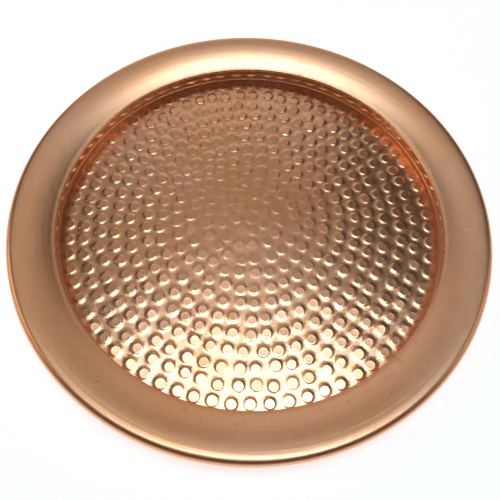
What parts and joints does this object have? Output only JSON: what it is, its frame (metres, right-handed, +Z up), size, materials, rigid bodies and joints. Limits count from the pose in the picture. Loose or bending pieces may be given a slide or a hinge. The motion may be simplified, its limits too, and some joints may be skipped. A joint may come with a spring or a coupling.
{
  "type": "serving tray",
  "caption": "Round copper serving tray with a hammered floor, a short steep wall and a broad crowned rim rolled over a steel wire.",
  "frame": {"origin": "centre of the floor's underside, the face that the tray stands on", "axes": "+Z up along the tray's axis; the tray is round, so X and Y are any two directions across it"},
  "size_m": [0.3999, 0.4, 0.026],
  "materials": {
    "copper": "polished copper sheet, spun rim with fine circular brushing, floor punched with raised round marks",
    "steel_wire": "plain drawn steel wire"
  },
  "bodies": {
    "root": {"tray_pan": "copper", "edge_wire": "steel_wire"}
  },
  "joints": []
}
